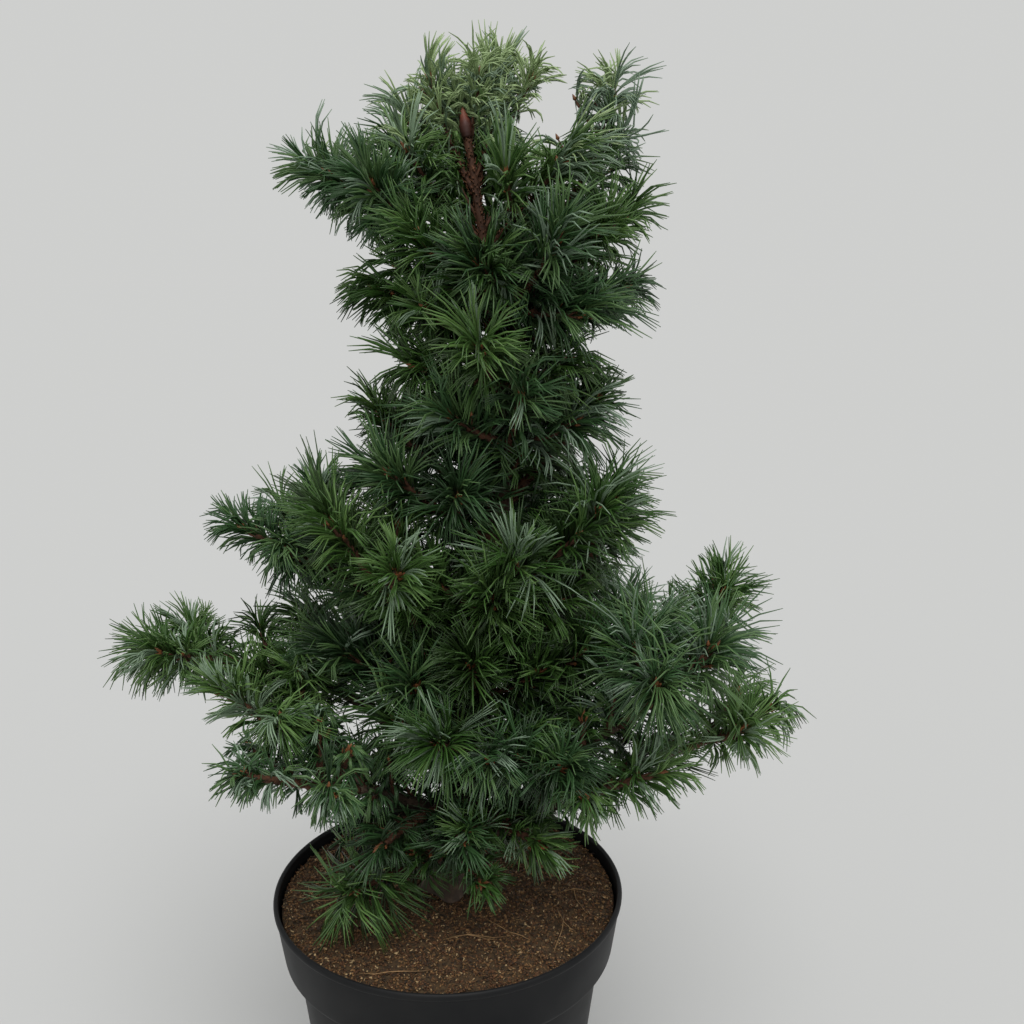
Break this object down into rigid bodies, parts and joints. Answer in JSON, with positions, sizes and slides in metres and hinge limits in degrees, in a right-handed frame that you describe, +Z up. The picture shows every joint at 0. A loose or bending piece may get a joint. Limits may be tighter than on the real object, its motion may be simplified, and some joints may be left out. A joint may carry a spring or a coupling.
{
  "type": "potted japanese white pine",
  "caption": "Young Japanese white pine in a round black nursery pot: slender leaning trunk, rising boughs and separate brush-like masses of blue-green needles.",
  "frame": {"origin": "centre of the pot's flat underside, on the ground it stands on", "axes": "+Z up along the pot's axis, -Y towards the side seen in the picture, +X to the right of that side"},
  "size_m": [0.556, 0.4045, 0.8815],
  "materials": {
    "pot_plastic": "satin black, slightly bluish",
    "bark_mulch": "loose crumbs of bark and peat",
    "bark": "rough scaly bark, smoother on young shoots",
    "needles_green": "waxy needles, deep green",
    "needles_blue": "waxy needles, blue-green",
    "needles_light": "waxy needles, lighter green"
  },
  "bodies": {
    "root": {"pot": "pot_plastic", "soil": "bark_mulch", "trunk": "bark", "bough_low_back": "bark", "bough_low_back_left": "bark", "bough_low_back_right": "bark", "bough_low_left_far": "bark", "bough_low_left_front": "bark", "bough_low_left_side": "bark", "bough_low_right_far": "bark", "bough_low_right_front": "bark", "bough_low_right_under": "bark", "bough_low_right_up": "bark", "bough_mid_back": "bark", "bough_mid_left": "bark", "bough_mid_left_front": "bark", "bough_mid_right": "bark", "needles_low_left_far": "needles_green", "needles_low_left_front": "needles_blue", "needles_low_left_side": "needles_light", "needles_low_right_under": "needles_green", "needles_low_right_front": "needles_blue", "needles_low_right_far": "needles_light", "needles_low_right_up": "needles_green", "needles_low_back_right": "needles_blue", "needles_low_back": "needles_light", "needles_low_back_left": "needles_green", "needles_mid_left": "needles_blue", "needles_mid_left_front": "needles_light", "needles_mid_right": "needles_green", "needles_mid_back": "needles_blue", "needles_pot_left": "needles_light", "needles_foot_front": "needles_green", "needles_foot_left": "needles_blue", "needles_foot_right": "needles_light", "needles_low_front_left": "needles_green", "needles_low_front_right": "needles_blue", "needles_low_centre": "needles_light", "needles_low_centre_right": "needles_green", "needles_mid_low_left": "needles_blue", "needles_mid_centre": "needles_light", "needles_mid_right_front": "needles_green", "needles_mid_high_left": "needles_blue", "needles_waist_left": "needles_light", "needles_waist_right": "needles_green", "needles_waist_front": "needles_blue", "needles_waist_back": "needles_light", "needles_upper_left_low": "needles_green", "needles_upper_right_low": "needles_blue", "needles_upper_front": "needles_light", "needles_upper_front_left": "needles_green", "needles_upper_front_right": "needles_blue", "needles_upper_right": "needles_light", "needles_upper_back": "needles_green", "needles_top_left": "needles_blue", "needles_top_left_up": "needles_light", "needles_top_front_right": "needles_green", "needles_top_right": "needles_blue", "needles_crown_left": "needles_light", "needles_crown_right": "needles_green"}
  },
  "joints": []
}
